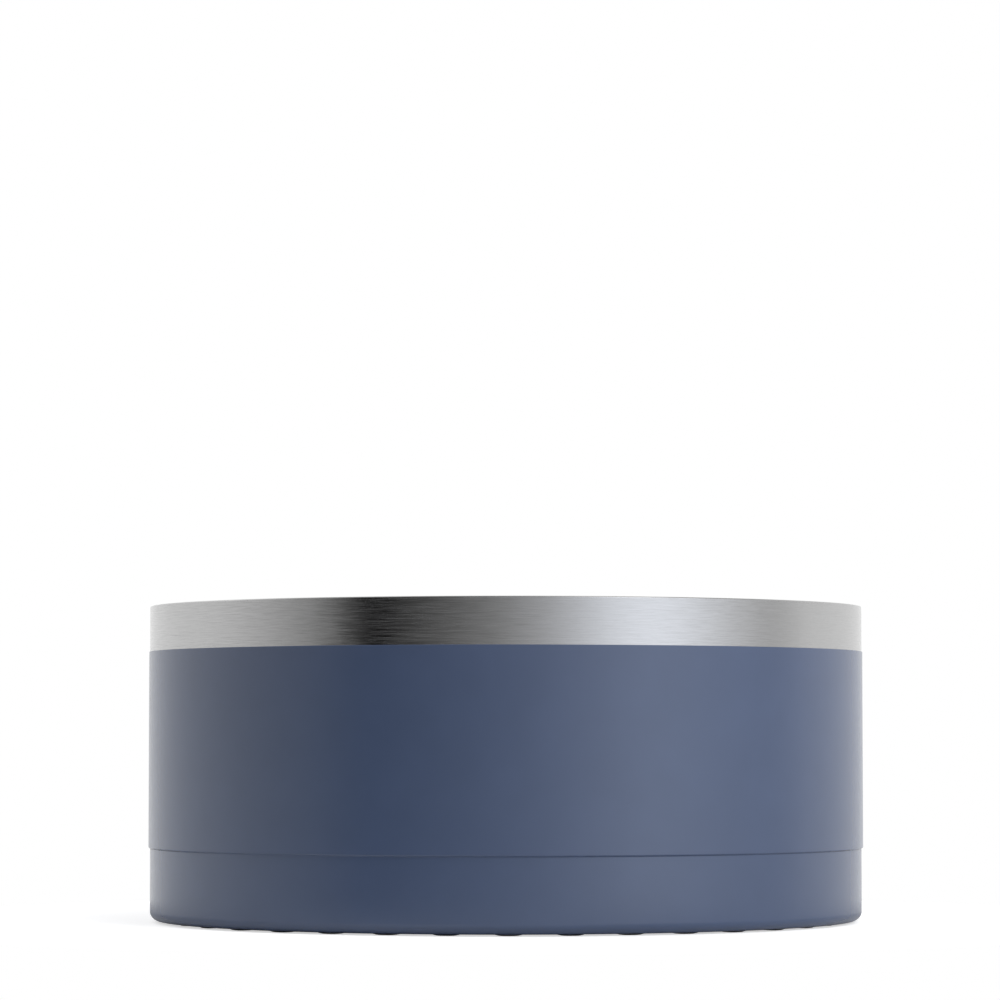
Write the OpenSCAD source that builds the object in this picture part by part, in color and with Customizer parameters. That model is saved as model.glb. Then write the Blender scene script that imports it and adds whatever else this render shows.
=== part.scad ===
// Double-wall steel dog bowl with a bare brushed band, a powder coat and a rubber non-slip ring.
// Millimetres, Z up. The origin is on the bowl's axis, on the floor that its feet stand on.

/* [Overall] */
// Diameter of the body over its powder coat
body_d = 216; // [170:1:260]
// Height from the floor to the top of the lip
overall_h = 94.9; // [80:0.1:125]

/* [Sheet steel] */
// Sheet thickness of the outer shell
shell_t = 0.8; // [0.6:0.05:1.2]
// Sheet thickness of the inner bowl
liner_t = 0.8; // [0.5:0.05:1.2]
// Sheet thickness of the base cup
base_t = 0.8; // [0.5:0.05:1.2]
// Slip gap between two sheets that are welded together
slip_gap = 0.05; // [0.02:0.01:0.1]

/* [Powder coat] */
// Thickness of the powder coat
coat_t = 0.25; // [0.15:0.05:0.5]
// Rounding of the coat's masked upper edge
coat_edge_r = 0.15; // [0.05:0.05:0.15]
// Height of the bare steel band, from the coat to the top of the lip
band_h = 13.6; // [8:0.1:25]

/* [Lip] */
// Height of the ground weld that caps the shell and the collar
lip_h = 0.8; // [0.6:0.1:1.5]
// Rounding of the two edges of the lip
lip_edge_r = 0.35; // [0.2:0.05:0.5]

/* [Inner bowl] */
// Height of the upright collar that lies against the shell
collar_h = 5; // [3:0.5:12]
// Radius of the bend between the collar and the leaning wall
collar_bend_r = 12; // [4:1:30]
// Lean of the wall from upright, in degrees
wall_lean = 10; // [4:0.5:14]
// Height of the food side of the floor above the ground
floor_h = 17; // [10:0.5:30]
// Radius between the floor and the wall, on the food side
floor_fillet_r = 26; // [8:1:36]

/* [Base cup and seam] */
// Height of the shell's lower edge above the ground
seam_h = 22.5; // [16:0.1:35]
// How far the face of the seam leans out of upright, in degrees
seam_slope = 52; // [40:1:65]
// Radius of the coat in the hollow under the seam
seam_fillet_r = 0.15; // [0.05:0.05:0.3]
// Rounding of the shell's lower edge
shell_edge_r = 0.15; // [0.1:0.05:0.3]
// How far the base cup's wall stands out from its spigot
joggle = 0.35; // [0.15:0.05:0.4]
// Length of the spigot above the shoulder, inside the shell
spigot_h = 8; // [4:0.5:15]
// Radius of the bottom corner over the coat
corner_r = 2.9; // [2:0.1:6]
// How far the middle of the underside is dished below the ring's seat
panel_drop = 0.8; // [0.4:0.1:1.2]

/* [Non-slip ring] */
// Width of the ring across its band
ring_w = 7.6; // [7:0.1:12]
// Thickness of the ring without its feet
ring_t = 1.6; // [1:0.1:3]
// Thickness of the film of adhesive above the ring
adhesive_t = 0.2; // [0.1:0.05:0.5]
// Margin between the edges of the adhesive and of the ring
adhesive_margin = 0.4; // [0.2:0.1:1]
// Clearance between the ring and the walls of its groove
ring_gap = 0.3; // [0.1:0.05:0.6]
// How far the ring's face lies above the coated underside
ring_recess = 0.3; // [0.1:0.05:0.5]
// Number of feet around the ring
foot_count = 36; // [12:1:42]
// Height of a foot
foot_h = 0.8; // [0.6:0.1:2]
// Length of a foot along the ring, where it meets the ring
foot_l = 10.8; // [7:0.1:12]
// Length of the flat tip of a foot along the ring
foot_tip_l = 4; // [3:0.1:6.5]
// Width of a foot across the ring, where it meets the ring
foot_w = 6.6; // [4:0.1:6.8]
// Width of the flat tip of a foot across the ring
foot_tip_w = 3.8; // [2:0.1:4]

/* [Hidden] */
$fn = 128;
// Straight steps in a drawn arc
arc_steps = 16;
// How deep a foot is rooted in the ring
foot_root = 0.4;

// Outer shell
body_r = body_d / 2;
shell_r = body_r - coat_t;
shell_in_r = shell_r - shell_t;
shell_z = seam_h;
shell_edge_c = [shell_r - shell_edge_r, shell_z + shell_edge_r];

// Lip, where the shell and the collar stand side by side under one weld
collar_r = shell_in_r - slip_gap;
collar_in_r = collar_r - liner_t;
lip_z = overall_h - lip_h;
coat_z = overall_h - band_h;

// Inner bowl
collar_z = lip_z - collar_h;
bend_c = [collar_in_r - collar_bend_r, collar_z];
bend_end = bend_c + collar_bend_r * [cos(wall_lean), -sin(wall_lean)];
fillet_top_z = floor_h + floor_fillet_r * (1 - sin(wall_lean));
fillet_top_r = bend_end.x - (bend_end.y - fillet_top_z) * tan(wall_lean);
fillet_c = [fillet_top_r - floor_fillet_r * cos(wall_lean), floor_h + floor_fillet_r];

// Base cup
spigot_r = collar_r;
base_r = spigot_r + joggle;
// Where the sloping face of the seam weld runs out on the wall of the base cup
seam_tip = seam_foot(0, 0);
// Rounding of the shoulder, which stays below the shell's lower edge
shoulder_r = min(joggle, shell_z - slip_gap - seam_tip.y);
shoulder_c = [base_r - shoulder_r, seam_tip.y];
shoulder_z = seam_tip.y + shoulder_r;
spigot_z = shoulder_z + spigot_h;
coat_under_z = foot_h - ring_recess;
under_z = coat_under_z + coat_t;
base_corner_r = corner_r - coat_t;
corner_c = [base_r - base_corner_r, under_z + base_corner_r];
land_c = [corner_c.x, under_z + base_t];
groove_r = land_c.x - base_t;
groove_z = foot_h + ring_t + adhesive_t;
groove_in_r = groove_r - 2 * ring_gap - ring_w;
panel_z = groove_z - panel_drop;
panel_r = groove_in_r - panel_drop;

// Non-slip ring
ring_r = groove_r - ring_gap;
ring_in_r = ring_r - ring_w;
foot_circle_r = ring_r - ring_w / 2;
ring_top_z = foot_h + ring_t;
foot_step = 360 / foot_count;
// The ring starts half a step before -Y, so that one foot faces the front
ring_start = -90 - foot_step / 2;

// Points of an arc about c, from angle a to angle b
function arc(c, r, a, b) = [
    for (i = [0 : arc_steps]) let (t = a + (b - a) * i / arc_steps) c + r * [cos(t), sin(t)]
];
function backwards(points) = [for (i = [len(points) - 1 : -1 : 0]) points[i]];

// A skin of the inner bowl, a distance d out from the food side, from the axis to the lip
function liner_skin(d) = concat(
    [[0, floor_h - d]],
    arc(fillet_c, floor_fillet_r + d, -90, -wall_lean),
    arc(bend_c, collar_bend_r + d, -wall_lean, 0),
    [[collar_in_r + d, lip_z]]
);

// The outside of the base cup, from the top of its spigot to the axis
function base_outside() = concat(
    [[spigot_r, spigot_z], [spigot_r, shoulder_z]],
    arc(shoulder_c, shoulder_r, 90, 0),
    arc(corner_c, base_corner_r, 0, -90),
    arc(land_c, base_t, -90, -180),
    [[groove_r, groove_z], [groove_in_r, groove_z], [panel_r, panel_z], [0, panel_z]]
);

// The hidden side of the base cup, from the axis to the top of its spigot
function base_inside() = concat(
    [
        [0, panel_z + base_t], [panel_r - base_t / 2, panel_z + base_t],
        [groove_in_r - base_t / 2, groove_z + base_t], [land_c.x, groove_z + base_t]
    ],
    arc(corner_c, base_corner_r - base_t, -90, 0),
    [
        [base_r - base_t, shoulder_z - joggle - base_t],
        [spigot_r - base_t, shoulder_z - base_t], [spigot_r - base_t, spigot_z]
    ]
);

// The lower end of the shell's rounded edge, a distance d out from the steel
function seam_head(d) = shell_edge_c + (shell_edge_r + d) * [cos(seam_slope), -sin(seam_slope)];

// The centre of a hollow of radius r that joins the seam's face to the base cup's wall
function seam_foot(d, r) =
    let (
        head = seam_head(d),
        foot_r = base_r + d + r
    )
    [foot_r, head.y + ((foot_r - head.x) * cos(seam_slope) - r) / sin(seam_slope)];

// A face of the coated steel, a distance d out from the steel, from the band to the underside
function coat_face(d, hollow) = concat(
    arc(shell_edge_c, shell_edge_r + d, 0, -seam_slope),
    hollow,
    arc(corner_c, base_corner_r + d, 0, -90)
);

// Drawn steel bowl that holds the food: collar, leaning wall, round corner and flat floor
module inner_bowl() {
    color("silver")
        rotate_extrude()
            polygon(concat(liner_skin(0), backwards(liner_skin(liner_t))));
}

// Drawn steel tube around the bowl, its lower edge eased and its top left bare
module outer_shell() {
    color("lightgray")
        rotate_extrude()
            polygon(concat(
                [[shell_in_r, shell_z]],
                arc(shell_edge_c, shell_edge_r, -90, -seam_slope),
                arc(shell_edge_c, shell_edge_r, -seam_slope, 0),
                [[shell_r, lip_z], [shell_in_r, lip_z]]
            ));
}

// Drawn steel cup that closes the bottom: spigot, shoulder, wall, groove for the ring and panel
module base_cup() {
    color("darkgray")
        rotate_extrude()
            polygon(concat(base_outside(), base_inside()));
}

// Weld bead ground flat with eased edges, which joins the bowl to the shell and makes the lip
module rim_weld() {
    edge_z = overall_h - lip_edge_r;
    color("gainsboro")
        rotate_extrude()
            polygon(concat(
                [[shell_r, lip_z]],
                arc([shell_r - lip_edge_r, edge_z], lip_edge_r, 0, 90),
                arc([collar_in_r + lip_edge_r, edge_z], lip_edge_r, 90, 180),
                [[collar_in_r, lip_z]]
            ));
}

// Weld bead ground to a slope, which joins the shell's lower edge to the base cup's shoulder
module seam_weld() {
    color("gainsboro")
        rotate_extrude()
            polygon(concat(
                [[spigot_r, shell_z], [shell_in_r, shell_z]],
                arc(shell_edge_c, shell_edge_r, -90, -seam_slope),
                [seam_tip],
                arc(shoulder_c, shoulder_r, 0, 90),
                [[spigot_r, shoulder_z]]
            ));
}

// Skin of powder coat over the shell, the seam and the base cup, down to the underside
module powder_coat() {
    edge_c = [body_r - coat_edge_r, coat_z - coat_edge_r];
    hollow_r = min(seam_fillet_r, seam_head(coat_t).x - base_r - coat_t);
    hollow = arc(seam_foot(coat_t, hollow_r), hollow_r, 180 - seam_slope, 180);
    color("slategray")
        rotate_extrude()
            polygon(concat(
                [[shell_r, coat_z]],
                arc(edge_c, coat_edge_r, 90, 0),
                coat_face(coat_t, hollow),
                backwards(coat_face(0, [seam_tip]))
            ));
}

// Band of the ring that the feet are cut from, across the ring
module foot_band() {
    rotate_extrude()
        translate([foot_circle_r, 0])
            polygon([
                [-foot_tip_w / 2, 0], [foot_tip_w / 2, 0], [foot_w / 2, foot_h],
                [foot_w / 2, foot_h + foot_root], [-foot_w / 2, foot_h + foot_root], [-foot_w / 2, foot_h]
            ]);
}

// Round outline that trims one foot along the ring
module foot_trim() {
    cylinder(d1 = foot_tip_l, d2 = foot_l, h = foot_h);
    translate([0, 0, foot_h])
        cylinder(d = foot_l, h = foot_root);
}

// Moulded rubber ring with flat-tipped feet that the bowl stands on
module non_slip_ring() {
    color("dimgray")
        rotate(ring_start) {
            translate([0, 0, foot_h])
                rotate_extrude()
                    translate([ring_in_r, 0])
                        square([ring_w, ring_t]);
            intersection() {
                foot_band();
                for (i = [0 : foot_count - 1])
                    rotate((i + 0.5) * foot_step)
                        translate([foot_circle_r, 0, 0])
                            foot_trim();
            }
        }
}

// Film of adhesive that bonds the ring into its groove
module ring_adhesive() {
    color("khaki")
        translate([0, 0, ring_top_z])
            rotate_extrude()
                translate([ring_in_r + adhesive_margin, 0])
                    square([ring_w - 2 * adhesive_margin, adhesive_t]);
}

inner_bowl();
outer_shell();
base_cup();
rim_weld();
seam_weld();
powder_coat();
non_slip_ring();
ring_adhesive();
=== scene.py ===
# %% [markdown]
# # A double-wall steel dog bowl
#
# The bowl is already built to size as solids. This lesson gives it its looks: a brushed band at the
# rim, a slate-blue powder coat, a satin inside and a rubber ring with feet. Nearly every piece of it
# was spun or drawn in a press, so nearly every piece here is one outline turned about an axis.

# %% Load the solids and keep their box
import math

import bpy
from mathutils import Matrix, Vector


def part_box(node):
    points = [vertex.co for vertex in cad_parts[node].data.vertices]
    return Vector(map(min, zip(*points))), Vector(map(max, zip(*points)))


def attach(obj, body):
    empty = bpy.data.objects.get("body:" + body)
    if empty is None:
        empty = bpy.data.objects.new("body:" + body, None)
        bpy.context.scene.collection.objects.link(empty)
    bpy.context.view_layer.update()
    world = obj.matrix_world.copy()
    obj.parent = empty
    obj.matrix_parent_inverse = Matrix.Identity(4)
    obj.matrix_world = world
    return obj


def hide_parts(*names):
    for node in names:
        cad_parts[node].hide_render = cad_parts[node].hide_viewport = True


MM = 0.001

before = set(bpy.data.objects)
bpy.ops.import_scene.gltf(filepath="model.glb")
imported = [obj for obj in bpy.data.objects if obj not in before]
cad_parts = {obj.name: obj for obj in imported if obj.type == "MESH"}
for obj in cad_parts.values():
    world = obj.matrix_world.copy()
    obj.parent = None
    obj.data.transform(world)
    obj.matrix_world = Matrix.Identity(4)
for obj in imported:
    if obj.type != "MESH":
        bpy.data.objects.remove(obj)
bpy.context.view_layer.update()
print("solids:", sorted(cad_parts))

# %% [markdown]
# ## The camera
#
# The bowl was photographed with a long lens, from just above the floor: the rim bows upwards and the
# base bows downwards, so the camera stands at a height between them. A short lens would bow them
# more. The camera is tipped up a little, which puts the bowl in the lower half of the picture, and it
# stands a hair to the left of the front foot.

# %% Place the camera
CAMERA_DISTANCE = 1303.9
CAMERA_HEIGHT = 54.35
CAMERA_TILT = 3.220
CAMERA_TURN = 0.0766
CAMERA_AROUND = -0.45
LENS = 154.34
SENSOR_WIDTH = 36.0
NEAREST_SEEN = 10.0

camera_data = bpy.data.cameras.new("camera")
camera_data.lens = LENS
camera_data.sensor_width = SENSOR_WIDTH
camera_data.clip_start = NEAREST_SEEN * MM
camera = bpy.data.objects.new("camera", camera_data)
camera_azimuth = math.radians(CAMERA_AROUND)
camera.location = (
    CAMERA_DISTANCE * math.sin(camera_azimuth) * MM,
    -CAMERA_DISTANCE * math.cos(camera_azimuth) * MM,
    CAMERA_HEIGHT * MM,
)
camera.rotation_euler = (
    math.radians(90 + CAMERA_TILT),
    0,
    math.radians(CAMERA_TURN + CAMERA_AROUND),
)
bpy.context.collection.objects.link(camera)
bpy.context.scene.camera = camera
print("camera", round(CAMERA_DISTANCE), "mm from the axis, lens", LENS, "mm")

# %% [markdown]
# ## Helpers for node trees
#
# Finishes, light and shapes are all node trees here. A node is quick to add by hand in Blender and
# slow to write in code, so one helper adds a node with its inputs, and another does sums. Two more
# start and end the trees that make a piece: each has named inputs for its sizes, and ends in plain
# geometry with a finish on it.

# %% Helpers that add nodes
def add(tree, kind, inputs=None, **settings):
    """A new node. An input is a number, a colour or the output of another node."""
    made = tree.nodes.new(kind)
    for name, value in settings.items():
        setattr(made, name, value)
    for name, value in (inputs or {}).items():
        if isinstance(value, bpy.types.NodeSocket):
            tree.links.new(value, made.inputs[name])
        else:
            made.inputs[name].default_value = value
    return made


def calc(tree, operation, *values):
    """One sum, such as ADD or COSINE, of numbers and node outputs."""
    inputs = dict(enumerate(values))
    return add(tree, "ShaderNodeMath", inputs, operation=operation).outputs[0]


print("helpers ready: add, calc")

# %% Helpers that start and end a tree
def new_tree(name, sockets):
    """A tree that makes a piece, with its inputs and the identifiers to set them by."""
    tree = bpy.data.node_groups.new(name, "GeometryNodeTree")
    identifiers = {
        socket: tree.interface.new_socket(socket, in_out="INPUT", socket_type=kind).identifier
        for socket, kind in sockets.items()
    }
    tree.interface.new_socket("Piece", in_out="OUTPUT", socket_type="NodeSocketGeometry")
    return tree, add(tree, "NodeGroupInput").outputs, identifiers


def end_tree(tree, shape, finish):
    """Ends such a tree with smooth shading, plain geometry and a finish."""
    smooth = add(tree, "GeometryNodeSetShadeSmooth", {"Geometry": shape})
    real = add(tree, "GeometryNodeRealizeInstances", {"Geometry": smooth.outputs[0]})
    inputs = {"Geometry": real.outputs[0], "Material": finish}
    finished = add(tree, "GeometryNodeSetMaterial", inputs)
    add(tree, "NodeGroupOutput", {"Piece": finished.outputs[0]})


print("helpers ready: new_tree, end_tree")

# %% [markdown]
# ## Turning an outline into a piece
#
# A spun or drawn shell is the same at every angle, so its outline says everything. Blender could
# turn it with the Screw modifier or the Spin tool, but those leave the seam to be mended. Geometry
# Nodes do it in one step: a flat grid is made, each of its points looks up its place on the outline,
# and the grid is bent into a round. Points that land on each other are then merged, which closes
# the seam, the outline and the pole.

# %% Build the turning tree
turning, given, turning_inputs = new_tree(
    "Turn outline",
    {
        "Outline": "NodeSocketGeometry",
        "Segments": "NodeSocketInt",
        "Merge distance": "NodeSocketFloat",
        "Finish": "NodeSocketMaterial",
    },
)
points = add(turning, "GeometryNodeAttributeDomainSize", {"Geometry": given["Outline"]})
columns = calc(turning, "ADD", given["Segments"], 1)
grid = add(
    turning,
    "GeometryNodeMeshGrid",
    {"Vertices X": points.outputs["Point Count"], "Vertices Y": columns},
)
index = add(turning, "GeometryNodeInputIndex").outputs[0]
row = calc(turning, "FLOOR", calc(turning, "DIVIDE", index, columns))
column = calc(turning, "SUBTRACT", index, calc(turning, "MULTIPLY", row, columns))
angle = calc(turning, "DIVIDE", calc(turning, "MULTIPLY", column, math.tau), given["Segments"])
place = add(
    turning,
    "GeometryNodeSampleIndex",
    {"Geometry": given["Outline"], "Index": row},
    data_type="FLOAT_VECTOR",
)
turning.links.new(add(turning, "GeometryNodeInputPosition").outputs[0], place.inputs["Value"])
outline = add(turning, "ShaderNodeSeparateXYZ", {0: place.outputs["Value"]}).outputs
turned = add(
    turning,
    "ShaderNodeCombineXYZ",
    {
        "X": calc(turning, "MULTIPLY", outline["X"], calc(turning, "COSINE", angle)),
        "Y": calc(turning, "MULTIPLY", outline["X"], calc(turning, "SINE", angle)),
        "Z": outline["Z"],
    },
)
bent = add(
    turning,
    "GeometryNodeSetPosition",
    {"Geometry": grid.outputs[0], "Position": turned.outputs[0]},
)
merged = add(
    turning,
    "GeometryNodeMergeByDistance",
    {"Geometry": bent.outputs[0], "Distance": given["Merge distance"]},
)
end_tree(turning, merged.outputs[0], given["Finish"])
print("turning tree:", len(turning.nodes), "nodes, inputs", sorted(turning_inputs))

# %% [markdown]
# ## Drawing the outlines
#
# An outline is a list of points: a radius from the axis and a height above the floor, in millimetres.
# Bends are arcs. Smooth shading would spread the turn of a small bend over the whole wall next to it,
# so every straight run gets one more point close to each of its ends, which holds it flat.
#
# A turned piece is made a plain mesh at once. Then it moves with the bowl, and the solid that it stands
# for is hidden.

# %% Helpers that draw outlines
BEND_STEPS = 16
HOLD = 0.12
SHORTEST_RUN = 4 * HOLD


def arc(centre, radius, start, end, steps=BEND_STEPS):
    """Points of an arc about a centre, between two angles in degrees."""
    turns = [math.radians(start + (end - start) * i / steps) for i in range(steps + 1)]
    return [(centre[0] + radius * math.cos(t), centre[1] + radius * math.sin(t)) for t in turns]


def hold_flats(points):
    """The outline with a point added close to each end of every straight run."""
    held = points[:1]
    for (r0, z0), (r1, z1) in zip(points, points[1:]):
        length = math.hypot(r1 - r0, z1 - z0)
        if length > SHORTEST_RUN:
            for share in (HOLD / length, 1 - HOLD / length):
                held.append((r0 + (r1 - r0) * share, z0 + (z1 - z0) * share))
        held.append((r1, z1))
    return held


print("helpers ready: arc, hold_flats")

# %% Helpers that make pieces
import bmesh

SEGMENTS = 288
MERGE_DISTANCE = 0.0005
SHARP_ANGLE = 40


def make_plain(piece):
    """Turns what the modifiers make into a plain mesh of small faces that point outwards."""
    graph = bpy.context.evaluated_depsgraph_get()
    piece.data = bpy.data.meshes.new_from_object(piece.evaluated_get(graph))
    piece.modifiers.clear()
    work = bmesh.new()
    work.from_mesh(piece.data)
    many_cornered = [face for face in work.faces if len(face.verts) > 4]
    bmesh.ops.triangulate(work, faces=many_cornered, ngon_method="BEAUTY")
    bmesh.ops.recalc_face_normals(work, faces=work.faces)
    work.to_mesh(piece.data)
    work.free()
    piece.data.set_sharp_from_angle(angle=math.radians(SHARP_ANGLE))


def run_tree(piece, tree, identifiers, values):
    """Runs a tree on a piece, with its inputs set, and makes the result a plain mesh."""
    modifier = piece.modifiers.new(tree.name, "NODES")
    modifier.node_group = tree
    for name, value in values.items():
        modifier[identifiers[name]] = value
    make_plain(piece)


def turn(name, outline, finish):
    """A piece turned from an outline. One that starts off the axis is closed into a ring."""
    path = outline if outline[0][0] == 0 else outline + outline[:1]
    mesh = bpy.data.meshes.new(name)
    mesh.from_pydata([(r * MM, 0, z * MM) for r, z in hold_flats(path)], [], [])
    piece = bpy.data.objects.new(name, mesh)
    bpy.context.collection.objects.link(piece)
    values = {"Segments": SEGMENTS, "Merge distance": MERGE_DISTANCE * MM, "Finish": finish}
    run_tree(piece, turning, turning_inputs, values)
    return piece


print("helpers ready: make_plain, run_tree, turn")

# %% Helpers that measure solids and hand in pieces
def reach_of(node):
    """A solid's outer radius, lowest point and highest point, in mm."""
    low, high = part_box(node)
    return [round(x / MM, 3) for x in (high.x, low.z, high.z)]


def hand_in(piece, node):
    """The piece moves with the bowl, and the solid that it stands for is hidden."""
    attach(piece, "root")
    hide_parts(node)
    corners = [v.co for v in piece.data.vertices]
    reach = max(math.hypot(c.x, c.y) for c in corners) / MM
    heights = [round(pick(c.z for c in corners) / MM, 2) for pick in (min, max)]
    print(f"{piece.name}: {len(piece.data.polygons)} faces, radius {reach:.2f}, heights {heights}")


print("helpers ready: reach_of, hand_in")

# %% [markdown]
# ## Brushed steel
#
# The band is bare stainless steel, brushed by an abrasive belt while the bowl turns. The belt leaves
# hair-fine scratches that run round the bowl. Three things make it look brushed. Each scratch tips
# the surface a little to one side, so reflections break up into short dashes. Some scatter light like
# chalk lines, which shows where the steel mirrors something dark, and some hold dark pits, which shows
# where it mirrors something bright. And light scatters widely across the scratches but little along
# them, which stretches reflections upright.
#
# A noise that is drawn out along circles gives the scratches. It reads the radius and the height
# finely and the place around the axis coarsely, so it has no seam and works on walls and floors.
# There are two such noises: hairs scatter light, and furrows, a little shorter and finer, do the rest.

# %% Helpers for finishes
NOISE_LOW, NOISE_HIGH = 0.3, 0.7
SCRATCH_DETAIL = 2.0
SCRATCH_SHARPNESS = 0.55


def new_finish(name):
    """A material with a Principled shader, and the parts to build on."""
    finish = bpy.data.materials.new(name)
    finish.use_nodes = True
    tree = finish.node_tree
    tree.nodes.clear()
    shader = add(tree, "ShaderNodeBsdfPrincipled")
    add(tree, "ShaderNodeOutputMaterial", {"Surface": shader.outputs[0]})
    return finish, tree, shader


def vector_calc(tree, operation, *values):
    """One sum of vectors, such as CROSS_PRODUCT or NORMALIZE."""
    inputs = dict(enumerate(values))
    return add(tree, "ShaderNodeVectorMath", inputs, operation=operation).outputs["Vector"]


def scratches(tree, length, width):
    """Noise in dashes that run round the axis, with their length and width in mm."""
    place = add(tree, "ShaderNodeTexCoord").outputs["Object"]
    fine = 1 / (width * MM)
    coarse = 1 / (length * MM)
    flat = vector_calc(tree, "MULTIPLY", place, (1, 1, 0))
    radius = add(tree, "ShaderNodeVectorMath", {0: flat}, operation="LENGTH").outputs["Value"]
    noise = add(
        tree,
        "ShaderNodeTexNoise",
        {
            "Vector": vector_calc(tree, "MULTIPLY", place, (coarse, coarse, fine)),
            "W": calc(tree, "MULTIPLY", radius, fine),
            "Scale": 1.0,
            "Detail": SCRATCH_DETAIL,
            "Roughness": SCRATCH_SHARPNESS,
        },
        noise_dimensions="4D",
    )
    return noise.outputs[0]


def spread(tree, value, low, high, start=NOISE_LOW, end=NOISE_HIGH):
    """Maps a noise, which keeps near the middle of 0 to 1, onto a range."""
    inputs = {"Value": value, "From Min": start, "From Max": end, "To Min": low, "To Max": high}
    return add(tree, "ShaderNodeMapRange", inputs).outputs[0]


print("helpers ready: new_finish, vector_calc, scratches, spread")

# %% Finish: brushed steel
HAIR_LENGTH = 10.0
HAIR_WIDTH = 0.19
HAIR_RANGE = (0.42, 0.72)
HAIR_SCATTER = 0.2
FURROW_LENGTH_SHARE = 0.55
FURROW_WIDTH_SHARE = 0.8
PIT_RANGE = (0.5, 0.8)
PIT_DARKNESS = 0.15
ROUGHNESS_SWING = 0.2
BAND_FINISH = {"grey": 0.528, "roughness": 0.16, "tilt": 0.026, "stretch": 0.5}


def brushed_steel(name, grey, roughness, tilt, stretch, length=HAIR_LENGTH):
    """Steel with scratches round the axis, which tip the surface, scatter light and hold dark pits."""
    finish, tree, shader = new_finish(name)
    place = add(tree, "ShaderNodeTexCoord").outputs["Object"]
    normal = add(tree, "ShaderNodeNewGeometry").outputs["Normal"]
    around = vector_calc(tree, "NORMALIZE", vector_calc(tree, "CROSS_PRODUCT", (0, 0, 1), place))
    hair = scratches(tree, length, HAIR_WIDTH)
    furrow = scratches(tree, FURROW_LENGTH_SHARE * length, FURROW_WIDTH_SHARE * HAIR_WIDTH)

    lean = {0: around, "Scale": spread(tree, furrow, -tilt, tilt)}
    leaning = add(tree, "ShaderNodeVectorMath", lean, operation="SCALE").outputs["Vector"]
    tipped = vector_calc(tree, "NORMALIZE", vector_calc(tree, "ADD", normal, leaning))
    tree.links.new(tipped, shader.inputs["Normal"])

    smoothest, roughest = roughness * (1 - ROUGHNESS_SWING), roughness * (1 + ROUGHNESS_SWING)
    tree.links.new(spread(tree, furrow, smoothest, roughest), shader.inputs["Roughness"])
    tree.links.new(vector_calc(tree, "CROSS_PRODUCT", around, normal), shader.inputs["Tangent"])
    shader.inputs["Anisotropic"].default_value = stretch

    plain = (grey, grey, grey, 1)
    dark = (*[grey * (1 - PIT_DARKNESS)] * 3, 1)
    pit = spread(tree, furrow, 0, 1, *PIT_RANGE)
    tone = add(tree, "ShaderNodeMix", {"Factor": pit, "A": plain, "B": dark}, data_type="RGBA")
    tree.links.new(tone.outputs["Result"], shader.inputs["Base Color"])
    mirror = spread(tree, hair, 1, 1 - HAIR_SCATTER, *HAIR_RANGE)
    tree.links.new(mirror, shader.inputs["Metallic"])
    return finish


band_steel = brushed_steel("band_steel", **BAND_FINISH)
print("finish:", band_steel.name, "with", len(band_steel.node_tree.nodes), "nodes")

# %% [markdown]
# ## The outer shell and the lip
#
# The shell is a steel tube whose bare top shows as the band. The lip is the weld that joins the shell
# to the inner bowl, ground flat with eased edges and brushed like the band. A cylinder with a bevel
# would do for both, but a turned outline keeps the sheet's thickness, and the pieces meet where they
# should.

# %% Make the shell
SHEET = 0.8
SHELL_EDGE = 0.15
SHELL_EDGE_STEPS = 6

shell_r, shell_low, shell_top = reach_of("outer_shell")
shell_in = shell_r - SHEET
shell_edge = (shell_r - SHELL_EDGE, shell_low + SHELL_EDGE)
shell_outline = (
    [(shell_in, shell_low)]
    + arc(shell_edge, SHELL_EDGE, -90, 0, SHELL_EDGE_STEPS)
    + [(shell_r, shell_top), (shell_in, shell_top)]
)
hand_in(turn("shell", shell_outline, band_steel), "outer_shell")

# %% Make the lip
LIP_WIDTH = 1.65
LIP_EDGE = 0.35
LIP_EDGE_STEPS = 8

lip_steel = brushed_steel("lip_steel", **BAND_FINISH)
lip_r, lip_low, lip_top = reach_of("rim_weld")
lip_in = lip_r - LIP_WIDTH
lip_edge_z = lip_top - LIP_EDGE
lip_outline = (
    [(lip_r, lip_low)]
    + arc((lip_r - LIP_EDGE, lip_edge_z), LIP_EDGE, 0, 90, LIP_EDGE_STEPS)
    + arc((lip_in + LIP_EDGE, lip_edge_z), LIP_EDGE, 90, 180, LIP_EDGE_STEPS)
    + [(lip_in, lip_low)]
)
hand_in(turn("lip", lip_outline, lip_steel), "rim_weld")

# %% [markdown]
# ## The inner bowl
#
# The inner bowl holds the food. It is drawn from one sheet: an upright collar at the lip, a wall that
# leans in, a wide round corner that is easy to wipe, and a flat floor. Its outline is drawn twice,
# once for the food side and once a sheet's thickness further out, and turned in one go.

# %% Make the inner bowl
COLLAR_HEIGHT = 5.0
COLLAR_BEND = 12.0
COLLAR_STEPS = 8
WALL_LEAN = 10.0
FLOOR_FILLET = 26.0
FLOOR_FILLET_STEPS = 40

liner_r, liner_low, liner_top = reach_of("inner_bowl")
food_r = liner_r - SHEET
food_floor = liner_low + SHEET
wall_lean = math.radians(WALL_LEAN)
bend_centre = (food_r - COLLAR_BEND, liner_top - COLLAR_HEIGHT)
bend_end_r = bend_centre[0] + COLLAR_BEND * math.cos(wall_lean)
bend_end_z = bend_centre[1] - COLLAR_BEND * math.sin(wall_lean)
fillet_top_z = food_floor + FLOOR_FILLET * (1 - math.sin(wall_lean))
fillet_top_r = bend_end_r - (bend_end_z - fillet_top_z) * math.tan(wall_lean)
fillet_centre = (fillet_top_r - FLOOR_FILLET * math.cos(wall_lean), food_floor + FLOOR_FILLET)


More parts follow.
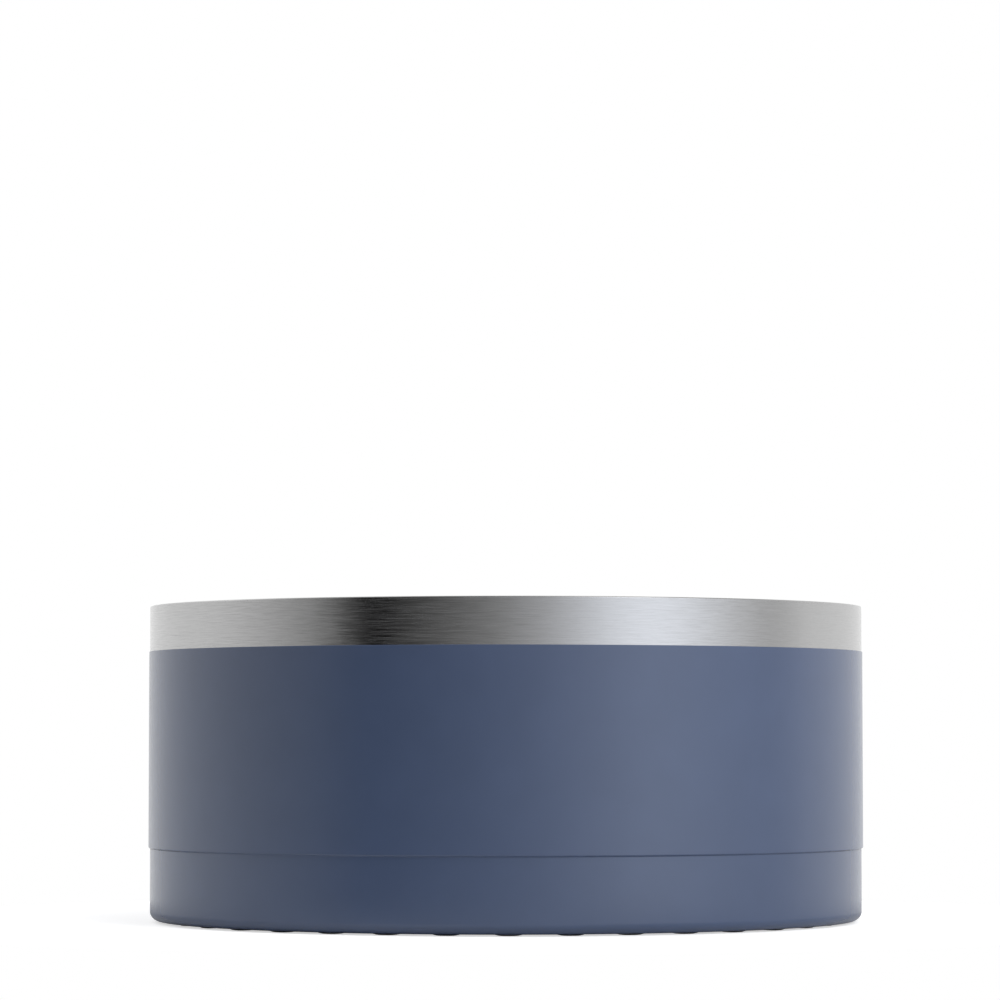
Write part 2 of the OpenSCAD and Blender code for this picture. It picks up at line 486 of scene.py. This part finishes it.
def bowl_skin(depth):
    """One side of the bowl, from the axis to the lip, a depth behind the food side."""
    return (
        [(0, food_floor - depth)]
        + arc(fillet_centre, FLOOR_FILLET + depth, -90, -WALL_LEAN, FLOOR_FILLET_STEPS)
        + arc(bend_centre, COLLAR_BEND + depth, -WALL_LEAN, 0, COLLAR_STEPS)
        + [(food_r + depth, liner_top)]
    )


bowl_steel = brushed_steel("bowl_steel", grey=0.65, roughness=0.30, tilt=0.012, stretch=0.6)
bowl_outline = bowl_skin(0) + bowl_skin(SHEET)[::-1]
hand_in(turn("inner_bowl_skin", bowl_outline, bowl_steel), "inner_bowl")

# %% [markdown]
# ## The base cup
#
# The base cup closes the bottom. Its spigot slips up into the shell, its wall stands a little inside
# the shell's, which gives the step at the seam, and its underside has a groove for the rubber ring
# around a dished panel. All of that is one more outline.

# %% Make the base cup
SPIGOT_HEIGHT = 8.0
JOGGLE = 0.35
SHOULDER_EDGE = 0.26
BASE_CORNER = 2.65
GROOVE_HEIGHT = 2.6
GROOVE_WIDTH = 8.2
PANEL_DROP = 0.8

base_r, base_low, spigot_top = reach_of("base_cup")
spigot_r = base_r - JOGGLE
shoulder_z = spigot_top - SPIGOT_HEIGHT
shoulder_centre = (base_r - SHOULDER_EDGE, shoulder_z - SHOULDER_EDGE)
corner_centre = (base_r - BASE_CORNER, base_low + BASE_CORNER)
land_centre = (corner_centre[0], base_low + SHEET)
groove_r = land_centre[0] - SHEET
groove_in = groove_r - GROOVE_WIDTH
panel_r = groove_in - PANEL_DROP
panel_z = GROOVE_HEIGHT - PANEL_DROP

base_outside = (
    [(spigot_r, spigot_top), (spigot_r, shoulder_z)]
    + arc(shoulder_centre, SHOULDER_EDGE, 90, 0)
    + arc(corner_centre, BASE_CORNER, 0, -90)
    + arc(land_centre, SHEET, -90, -180)
    + [(groove_r, GROOVE_HEIGHT), (groove_in, GROOVE_HEIGHT), (panel_r, panel_z), (0, panel_z)]
)
base_inside = (
    [(0, panel_z + SHEET), (panel_r - SHEET / 2, panel_z + SHEET)]
    + [(groove_in - SHEET / 2, GROOVE_HEIGHT + SHEET), (land_centre[0], GROOVE_HEIGHT + SHEET)]
    + arc(corner_centre, BASE_CORNER - SHEET, -90, 0)
    + [(base_r - SHEET, shoulder_z - JOGGLE - SHEET), (spigot_r - SHEET, shoulder_z - SHEET)]
    + [(spigot_r - SHEET, spigot_top)]
)
base_steel = brushed_steel("base_steel", grey=0.55, roughness=0.34, tilt=0.012, stretch=0.5)
base_outline = base_inside + base_outside
hand_in(turn("base_cup_skin", base_outline, base_steel), "base_cup")

# %% [markdown]
# ## The powder coat
#
# The coat is dry paint that is sprayed on and baked, about as thick as card. It covers the shell, runs
# down the slope of the weld at the seam, and wraps round the bottom corner. Painting the shell blue
# would be quicker, but then the coat's edge would have no step against the band, and that small step
# catches a line of light.
#
# Baked powder is smooth to the touch and slightly pebbled up close, so its finish has two bumps: a
# pebble of about a millimetre, and a far finer grain that dulls the gloss. The rubber and the adhesive
# below are dull in the same way, with other spots and bumps, so one helper makes all three.

# %% Helpers for dull finishes
SPOT_SHARPNESS = 0.5


def cloud(tree, size, detail=2.0):
    """Even noise, with the size of its spots in mm."""
    place = add(tree, "ShaderNodeTexCoord").outputs["Object"]
    inputs = {
        "Vector": place,
        "Scale": 1 / (size * MM),
        "Detail": detail,
        "Roughness": SPOT_SHARPNESS,
    }
    return add(tree, "ShaderNodeTexNoise", inputs).outputs[0]


def relief(tree, height, depth, below=None):
    """Turns a noise into bumps that are depth mm deep, on top of other bumps."""
    inputs = {"Height": height, "Distance": depth * MM, "Strength": 1.0}
    if below:
        inputs["Normal"] = below
    return add(tree, "ShaderNodeBump", inputs).outputs[0]


def tint(tree, shader, colour, noise, change):
    """Varies a colour a little, lighter and darker, by a noise."""
    darker = (*[c * (1 - change) for c in colour], 1)
    lighter = (*[c * (1 + change) for c in colour], 1)
    mixed = add(tree, "ShaderNodeMix", {"A": darker, "B": lighter}, data_type="RGBA")
    tree.links.new(spread(tree, noise, 0, 1), mixed.inputs["Factor"])
    tree.links.new(mixed.outputs["Result"], shader.inputs["Base Color"])


def dull_finish(name, colour, mottle, gloss, bumps, ior=1.5):
    """A dull finish, with the sizes and depths of its spots and bumps in mm.

    mottle: the size of the colour's spots, and how far they differ from the colour.
    gloss: the size of the roughness's spots, and its lowest and highest value.
    bumps: for each layer of bumps its size, its depth and the detail of its noise.
    """
    finish, tree, shader = new_finish(name)
    mottle_size, change = mottle
    tint(tree, shader, colour, cloud(tree, mottle_size), change)
    gloss_size, smoothest, roughest = gloss
    rough = spread(tree, cloud(tree, gloss_size), smoothest, roughest)
    tree.links.new(rough, shader.inputs["Roughness"])
    bumped = None
    for size, depth, detail in bumps:
        bumped = relief(tree, cloud(tree, size, detail), depth, bumped)
    tree.links.new(bumped, shader.inputs["Normal"])
    shader.inputs["IOR"].default_value = ior
    print("finish:", finish.name, "with", len(tree.nodes), "nodes")
    return finish


print("helpers ready: cloud, relief, tint, dull_finish")

# %% Finish: powder coat
COAT_COLOUR = (0.078, 0.108, 0.191)
PEBBLE = (1.1, 0.006, 2.0)
GRAIN = (0.25, 0.002, 2.0)

coat_finish = dull_finish(
    "powder_coat_finish",
    COAT_COLOUR,
    mottle=(14, 0.025),
    gloss=(3, 0.17, 0.21),
    bumps=[PEBBLE, GRAIN],
    ior=1.55,
)

# %% Make the coat
COAT = 0.25
COAT_EDGE = 0.15
COAT_EDGE_STEPS = 8
COAT_CORNER_STEPS = 24
SEAM_SLOPE = 52
SEAM_FILLET = 0.15

coat_r, _, coat_top = reach_of("powder_coat")


def coat_face(out, fillet):
    """A face of the coat, from the wall to the underside, a distance out from the steel."""
    down = math.radians(SEAM_SLOPE)
    edge = arc(shell_edge, SHELL_EDGE + out, 0, -SEAM_SLOPE, COAT_EDGE_STEPS)
    edge_r, edge_z = edge[-1]
    fillet_r = base_r + out + fillet
    fillet_z = edge_z + ((fillet_r - edge_r) * math.cos(down) - fillet) / math.sin(down)
    return (
        edge
        + arc((fillet_r, fillet_z), fillet, 180 - SEAM_SLOPE, 180, COAT_EDGE_STEPS)
        + arc(corner_centre, BASE_CORNER + out, 0, -90, COAT_CORNER_STEPS)
    )


coat_edge = (coat_r - COAT_EDGE, coat_top - COAT_EDGE)
coat_outline = (
    [(shell_r, coat_top)]
    + arc(coat_edge, COAT_EDGE, 90, 0, COAT_EDGE_STEPS)
    + coat_face(COAT, SEAM_FILLET)
    + coat_face(0, 0)[::-1]
)
hand_in(turn("coat", coat_outline, coat_finish), "powder_coat")

# %% [markdown]
# ## The rubber ring and its feet
#
# The bowl stands on a moulded rubber ring. The ring is flat with rounded edges, and 36 low feet stick
# out under it, so that it grips without sucking onto a wet floor. A foot is long along the ring, with
# blunt corners and bulging sides, as a mould would give it.
#
# One foot is drawn as a stack of outlines. A node tree then sets copies of it on a circle, turns each
# to follow the ring, and fuses them with it, so ring and feet are one skin, as in rubber.

# %% Finish: rubber
RUBBER_COLOUR = (0.014, 0.014, 0.016)
RUBBER_GRAIN = (0.35, 0.012, 4.0)

rubber = dull_finish(
    "black_rubber",
    RUBBER_COLOUR,
    mottle=(2.5, 0.20),
    gloss=(0.8, 0.72, 0.88),
    bumps=[RUBBER_GRAIN],
    ior=1.40,
)

# %% Make the plain ring
RING_WIDTH = 7.6
RING_THICKNESS = 1.6
RING_EDGE = 0.35
RING_EDGE_STEPS = 6

ring_r, ring_low, ring_top = reach_of("non_slip_ring")
ring_in = ring_r - RING_WIDTH
ring_under = ring_top - RING_THICKNESS
ring_outline = []
for ring_side, ring_level, start in (
    (ring_in + RING_EDGE, ring_under + RING_EDGE, 180),
    (ring_r - RING_EDGE, ring_under + RING_EDGE, 270),
    (ring_r - RING_EDGE, ring_top - RING_EDGE, 0),
    (ring_in + RING_EDGE, ring_top - RING_EDGE, 90),
):
    ring_outline += arc((ring_side, ring_level), RING_EDGE, start, start + 90, RING_EDGE_STEPS)
ring = turn("rubber_ring", ring_outline, rubber)
print("ring without feet:", len(ring.data.polygons), "faces")

# %% Draw one foot
FOOT_TIP = (2.0, 1.9)
FOOT_GROWTH = (3.4, 1.4)
FOOT_SWELL = 0.6
FOOT_ROOT = 0.4
FOOT_SINK = 0.02
FOOT_CORNERS = 36
FOOT_BLUNTNESS = 3.2
FOOT_LEVELS = (0, 0.03, 0.08, 0.16, 0.28, 0.44, 0.66, 1.0)

# The widest outline sinks a little into the ring, because outlines in its surface don't fuse cleanly.
foot_height = ring_under + FOOT_SINK - ring_low
foot_levels = [(u, ring_low + u * foot_height) for u in FOOT_LEVELS]
foot_levels.append((1.0, ring_under + FOOT_ROOT))


def foot_outline(u, level):
    """The corners of a foot at a level in mm, where u is 0 at its tip and 1 at its root."""
    half_length, half_width = (
        tip + more * u**FOOT_SWELL for tip, more in zip(FOOT_TIP, FOOT_GROWTH)
    )
    corners = []
    for i in range(FOOT_CORNERS):
        # Half a step keeps the corners off the lines between the ring's own faces.
        turned_by = math.tau * (i + 0.5) / FOOT_CORNERS
        along, across = (
            math.copysign(abs(way) ** (2 / FOOT_BLUNTNESS), way)
            for way in (math.cos(turned_by), math.sin(turned_by))
        )
        corners.append((half_length * along * MM, half_width * across * MM, level * MM))
    return corners


def make_object(name, work):
    """A new object from the mesh that was worked on."""
    mesh = bpy.data.meshes.new(name)
    work.to_mesh(mesh)
    work.free()
    made = bpy.data.objects.new(name, mesh)
    bpy.context.collection.objects.link(made)
    return made


foot_work = bmesh.new()
rows = []
for u, level in foot_levels:
    rows.append([foot_work.verts.new(corner) for corner in foot_outline(u, level)])
for lower, upper in zip(rows, rows[1:]):
    for i in range(FOOT_CORNERS):
        j = (i + 1) % FOOT_CORNERS
        foot_work.faces.new((lower[i], lower[j], upper[j], upper[i]))
foot_work.faces.new(rows[0][::-1])
foot_work.faces.new(rows[-1])
foot = make_object("foot", foot_work)
print("one foot:", len(foot.data.polygons), "faces,", round(foot_height, 2), "mm high")

# %% Build the tree that sets the feet
setting, given, setting_inputs = new_tree(
    "Set feet on a ring",
    {
        "Ring": "NodeSocketGeometry",
        "Foot": "NodeSocketObject",
        "Count": "NodeSocketInt",
        "Circle": "NodeSocketFloat",
        "Finish": "NodeSocketMaterial",
    },
)
circle = add(
    setting,
    "GeometryNodeMeshCircle",
    {"Vertices": given["Count"], "Radius": given["Circle"]},
)
front = add(
    setting,
    "GeometryNodeTransform",
    {"Geometry": circle.outputs[0], "Rotation": (0, 0, -math.pi / 2)},
)
number = add(setting, "GeometryNodeInputIndex").outputs[0]
share = calc(setting, "DIVIDE", number, given["Count"])
facing = add(setting, "ShaderNodeCombineXYZ", {"Z": calc(setting, "MULTIPLY", share, math.tau)})
one_foot = add(setting, "GeometryNodeObjectInfo", {"Object": given["Foot"]})
placed = add(
    setting,
    "GeometryNodeInstanceOnPoints",
    {
        "Points": front.outputs[0],
        "Instance": one_foot.outputs["Geometry"],
        "Rotation": facing.outputs[0],
    },
)
feet = add(setting, "GeometryNodeRealizeInstances", {"Geometry": placed.outputs[0]})
fused = add(setting, "GeometryNodeMeshBoolean", operation="UNION", solver="EXACT")
setting.links.new(given["Ring"], fused.inputs["Mesh 2"])
setting.links.new(feet.outputs[0], fused.inputs["Mesh 2"])
end_tree(setting, fused.outputs[0], given["Finish"])
print("feet tree:", len(setting.nodes), "nodes, inputs", sorted(setting_inputs))

# %% Set the feet
FOOT_COUNT = 36

foot_circle = (ring_r - RING_WIDTH / 2) * MM
values = {"Foot": foot, "Count": FOOT_COUNT, "Circle": foot_circle, "Finish": rubber}
run_tree(ring, setting, setting_inputs, values)
bpy.data.objects.remove(foot)
hand_in(ring, "non_slip_ring")

# %% [markdown]
# ## Two pieces that hardly show
#
# The weld in the seam lies under the coat, and the film of adhesive lies between the ring and its
# groove. Their solids already have the right shape, so they stay, and only get a finish each.

# %% Finish the weld and the adhesive
WELD_LENGTH = 1.2
ADHESIVE_COLOUR = (0.55, 0.50, 0.38)
ADHESIVE_BUMPS = (0.6, 0.01, 2.0)

weld_steel = brushed_steel(
    "weld_steel", grey=0.50, roughness=0.42, tilt=0.05, stretch=0.2, length=WELD_LENGTH
)
adhesive = dull_finish(
    "adhesive_film",
    ADHESIVE_COLOUR,
    mottle=(1.5, 0.12),
    gloss=(0.9, 0.35, 0.55),
    bumps=[ADHESIVE_BUMPS],
)
for node, finish in (("seam_weld", weld_steel), ("ring_adhesive", adhesive)):
    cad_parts[node].data.materials.clear()
    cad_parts[node].data.materials.append(finish)
    print(node, "has the finish", finish.name)

# %% [markdown]
# ## The floor
#
# The bowl stands on a small white floor. Direct looks at it get a little extra light, so that it reads
# as white, and it still takes the bowl's soft shadow. It is small so that the band, which looks out
# over it, mirrors the room and not a white sheet.

# %% Make the floor
WHITE = (1, 1, 1, 1)
FLOOR_RADIUS = 200
FLOOR_SEGMENTS = 128
FLOOR_COLOUR = (0.68, 0.68, 0.68, 1)
FLOOR_ROUGHNESS = 0.9
FLOOR_GLOW = 0.60

floor_white, tree, shader = new_finish("floor_white")
shader.inputs["Base Color"].default_value = FLOOR_COLOUR
shader.inputs["Roughness"].default_value = FLOOR_ROUGHNESS
shader.inputs["Specular IOR Level"].default_value = 0.0
shader.inputs["Emission Color"].default_value = WHITE
direct_look = add(tree, "ShaderNodeLightPath").outputs["Is Camera Ray"]
glow = calc(tree, "MULTIPLY", direct_look, FLOOR_GLOW)
tree.links.new(glow, shader.inputs["Emission Strength"])

floor_work = bmesh.new()
bmesh.ops.create_circle(
    floor_work, cap_ends=True, segments=FLOOR_SEGMENTS, radius=FLOOR_RADIUS * MM
)
floor = make_object("floor", floor_work)
floor.data.materials.append(floor_white)
print("floor:", 2 * FLOOR_RADIUS, "mm across")

# %% [markdown]
# ## The studio
#
# Polished metal has no look of its own: it shows the room. The room here is the world's background, by
# the direction that a ray leaves in. A white sweep behind the bowl fades towards the camera. To the
# right of the camera stand a soft box, a larger and weaker fill beside it, and a strong lamp above
# them, which models the round of the wall. A second lamp at the back left lights the far side. To the
# left of the camera hangs a narrow dark card, which gives the steel its dark stripe, and a weak one far
# to the right gives a soft dip. The ceiling is dim. The camera sees plain white behind the bowl, and
# the steel mirrors a share of that white too. Mirrored lamps are toned down and the mirrored ceiling
# up, as a photographer does with screens.
#
# Lamp objects would light the bowl as well, but each would need its own place and size. As patches of
# one background they blend softly into each other, which is what brushed steel shows.

# %% Helpers for the room
world = bpy.data.worlds.new("studio")
bpy.context.scene.world = world
world.use_nodes = True
studio = world.node_tree
studio.nodes.clear()
looking = add(studio, "ShaderNodeTexCoord").outputs["Generated"]
way = add(studio, "ShaderNodeSeparateXYZ", {0: looking}).outputs
azimuth = calc(studio, "ARCTAN2", way["X"], calc(studio, "MULTIPLY", way["Y"], -1))
azimuth = calc(studio, "SUBTRACT", azimuth, camera_azimuth)
rays = add(studio, "ShaderNodeLightPath").outputs
mirrored = calc(studio, "ADD", rays["Is Glossy Ray"], rays["Is Transmission Ray"])


def product(*values):
    """Several values multiplied."""
    total = values[0]
    for value in values[1:]:
        total = calc(studio, "MULTIPLY", total, value)
    return total


def patch(centre, width, light):
    """A soft upright patch of the room, at an azimuth in degrees, right of the camera."""
    off = calc(studio, "SUBTRACT", azimuth, math.radians(centre))
    off = calc(studio, "DIVIDE", off, math.radians(width))
    fade = calc(studio, "EXPONENT", product(off, off, -1))
    return product(fade, light)


def rise(value, start, end, light):
    """Grows smoothly from none to a light between two values."""
    inputs = {"Value": value, "From Min": start, "From Max": end, "To Max": light}
    return add(studio, "ShaderNodeMapRange", inputs, interpolation_type="SMOOTHSTEP").outputs[0]


def above(start, end, light=1.0):
    """Grows between two elevations in degrees."""
    return rise(way["Z"], math.sin(math.radians(start)), math.sin(math.radians(end)), light)


def beside(start, end, light):
    """Grows between two azimuths in degrees, the same to the left and to the right."""
    turned_away = calc(studio, "ABSOLUTE", azimuth)
    return rise(turned_away, math.radians(start), math.radians(end), light)


def behind_cards(*cards):
    """What is left of the light behind dark cards, each with a centre, a width and a depth."""
    return product(*[calc(studio, "SUBTRACT", 1.0, patch(*card)) for card in cards])


def toned(plain, in_metal):
    """One strength as light, and another where steel mirrors it."""
    return calc(studio, "MULTIPLY_ADD", mirrored, in_metal - plain, plain)


print("helpers ready: product, patch, rise, above, beside, behind_cards, toned")

# %% Light the studio
# A patch has an azimuth, a width and a light. A sweep has two azimuths and the light it grows to.
SWEEP = (21, 115, 0.87)
BOX = (46.4, 27.6, 0.895)
BOX_COLOUR = (0.928, 0.980, 1.09, 1)
FILL = (23.9, 41.0, 0.418)
CARD = (-42.2, 11.2, 0.965)
SIDE_CARD = (94.3, 13.9, 0.23)
KEY = (48.8, 22.2, 3.88)
KICK = (-120.0, 25.0, 2.3)
LAMP_ELEVATIONS = (12, 32)
LAMPS_IN_METAL = 0.25
CEILING_ELEVATIONS = (25, 55)
CEILING_LIGHT = 0.18
CEILING_IN_METAL = 0.34

overhead = above(*CEILING_ELEVATIONS)
walls = calc(studio, "SUBTRACT", 1.0, overhead)
open_walls = product(walls, behind_cards(CARD, SIDE_CARD))
ceiling = product(overhead, toned(CEILING_LIGHT, CEILING_IN_METAL))
lamps = calc(studio, "ADD", patch(*KEY), patch(*KICK))
lamps = product(lamps, above(*LAMP_ELEVATIONS), toned(1.0, LAMPS_IN_METAL))
white_light = product(calc(studio, "ADD", beside(*SWEEP), patch(*FILL)), open_walls)
white_light = calc(studio, "ADD", white_light, calc(studio, "ADD", ceiling, lamps))
cool_light = product(patch(*BOX), open_walls)
white = add(studio, "ShaderNodeBackground", {"Color": WHITE, "Strength": white_light})
cool = add(studio, "ShaderNodeBackground", {"Color": BOX_COLOUR, "Strength": cool_light})
room = add(studio, "ShaderNodeAddShader", {0: white.outputs[0], 1: cool.outputs[0]})
print("room:", len(studio.nodes), "nodes")

# %% Show the white backdrop
BACKDROP_LIGHT = 1.0
BACKDROP_IN_METAL = (95, 150, 0.35)

backdrop = add(studio, "ShaderNodeBackground", {"Color": WHITE, "Strength": BACKDROP_LIGHT})
in_metal = product(mirrored, beside(*BACKDROP_IN_METAL), walls)
white_share = calc(studio, "ADD", rays["Is Camera Ray"], in_metal)
seen = add(
    studio,
    "ShaderNodeMixShader",
    {0: white_share, 1: room.outputs[0], 2: backdrop.outputs[0]},
)
add(studio, "ShaderNodeOutputWorld", {"Surface": seen.outputs[0]})
bpy.context.scene.view_settings.view_transform = "Standard"
print("studio:", len(studio.nodes), "nodes")
